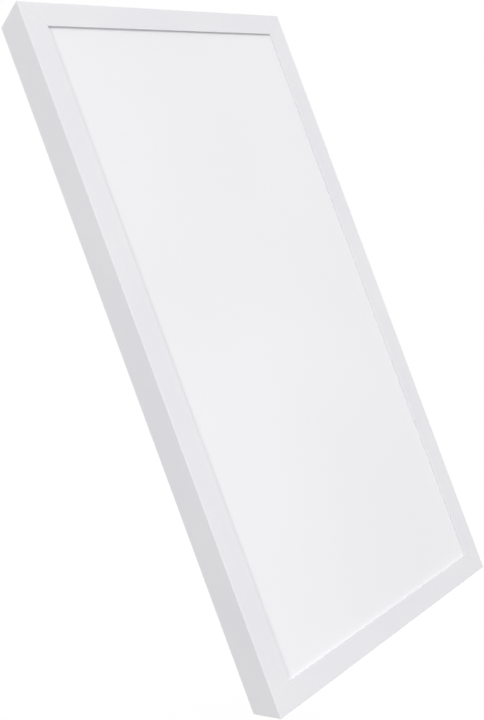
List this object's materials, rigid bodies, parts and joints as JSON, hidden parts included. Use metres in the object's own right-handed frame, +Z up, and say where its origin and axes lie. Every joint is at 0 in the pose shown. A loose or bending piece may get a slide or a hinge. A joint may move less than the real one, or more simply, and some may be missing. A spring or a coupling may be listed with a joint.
{
  "type": "surface-mounted led panel light",
  "caption": "Surface-mounted rectangular LED panel light: deep mitred frame with a wide lip round an opal diffuser, and a light module that slides out of one end.",
  "frame": {"origin": "middle of the middle mounting bar's wall face, at the centre of the frame's back", "axes": "+Z up along the panel's long side, +Y back into the wall or ceiling, light facing -Y, +X to the right seen from the front"},
  "size_m": [0.6, 0.068, 1.2],
  "materials": {
    "white_powder_coat": "satin powder coat",
    "opal_sheet": "fine satin",
    "clear_acrylic": "clear gloss",
    "white_film": "matt",
    "grey_foam": "closed-cell foam",
    "strip_board": "matt white solder mask",
    "white_plate": "pre-painted sheet",
    "bezel_aluminium": "natural anodised",
    "zinc_steel": "zinc plated",
    "cast_alloy": "as cast",
    "dark_screw": "blackened zinc",
    "black_rubber": "matt",
    "driver_casing": "fine moulded texture",
    "driver_circuit": "solder mask",
    "white_sheath": "soft PVC",
    "grey_plastic": "moulded",
    "orange_lever": "moulded"
  },
  "bodies": {
    "frame": {"rail_left": "white_powder_coat", "rail_right": "white_powder_coat", "rail_bottom": "white_powder_coat", "corner_key_bottom_left": "cast_alloy", "corner_key_bottom_right": "cast_alloy", "key_screw_a_bottom_left": "dark_screw", "key_screw_b_bottom_left": "dark_screw", "key_screw_a_bottom_right": "dark_screw", "key_screw_b_bottom_right": "dark_screw", "bar_upper": "zinc_steel", "bar_middle": "zinc_steel", "bar_lower": "zinc_steel", "cable_grommet": "black_rubber", "bar_screw_upper_left": "dark_screw", "bar_screw_upper_right": "dark_screw", "bar_screw_middle_left": "dark_screw", "bar_screw_middle_right": "dark_screw", "bar_screw_lower_left": "dark_screw", "bar_screw_lower_right": "dark_screw"},
    "end_rail": {"rail_top": "white_powder_coat", "corner_key_top_left": "cast_alloy", "corner_key_top_right": "cast_alloy", "key_screw_a_top_left": "dark_screw", "key_screw_a_top_right": "dark_screw", "key_screw_b_top_left": "dark_screw", "key_screw_b_top_right": "dark_screw"},
    "module": {"bezel_left": "bezel_aluminium", "bezel_right": "bezel_aluminium", "bezel_top": "bezel_aluminium", "bezel_bottom": "bezel_aluminium", "diffuser": "opal_sheet", "light_guide": "clear_acrylic", "reflector_sheet": "white_film", "foam_sheet": "grey_foam", "strip_jumper": "white_film", "led_strip_left": "strip_board", "led_strip_right": "strip_board", "back_plate": "white_plate", "plate_screw_left_1": "dark_screw", "plate_screw_left_2": "dark_screw", "plate_screw_right_1": "dark_screw", "plate_screw_right_2": "dark_screw", "plate_screw_top_1": "dark_screw", "plate_screw_top_2": "dark_screw", "plate_screw_bottom_1": "dark_screw", "plate_screw_bottom_2": "dark_screw", "lead_gland": "black_rubber", "driver_base": "driver_casing", "driver_board": "driver_circuit", "driver_lid": "driver_casing", "driver_screw_1": "dark_screw", "driver_screw_2": "dark_screw", "output_lead": "white_sheath", "lead_clip_1": "grey_plastic", "lead_clip_2": "grey_plastic", "terminal_block": "grey_plastic", "input_lead": "white_sheath"},
    "lever_1": {"terminal_lever_1": "orange_lever"},
    "lever_2": {"terminal_lever_2": "orange_lever"},
    "lever_3": {"terminal_lever_3": "orange_lever"}
  },
  "joints": [
    {"name": "module_out", "type": "slide", "parent": "frame", "child": "module", "axis": [0, 0, 1], "range_m": [0, 1.2]},
    {"name": "end_rail_off", "type": "slide", "parent": "frame", "child": "end_rail", "axis": [0, 0, 1], "range_m": [0, 1.3]},
    {"name": "lever_1_lift", "type": "hinge", "parent": "module", "child": "lever_1", "pos_m": [0.081, -0.04, 0.1], "axis": [1, 0, 0], "range_deg": [0, 85]},
    {"name": "lever_2_lift", "type": "hinge", "parent": "module", "child": "lever_2", "pos_m": [0.09, -0.04, 0.1], "axis": [1, 0, 0], "range_deg": [0, 85]},
    {"name": "lever_3_lift", "type": "hinge", "parent": "module", "child": "lever_3", "pos_m": [0.099, -0.04, 0.1], "axis": [1, 0, 0], "range_deg": [0, 85]}
  ],
  "couplings": [
    {"joint": "end_rail_off", "follows": "module_out", "ratio": 1.08}
  ]
}
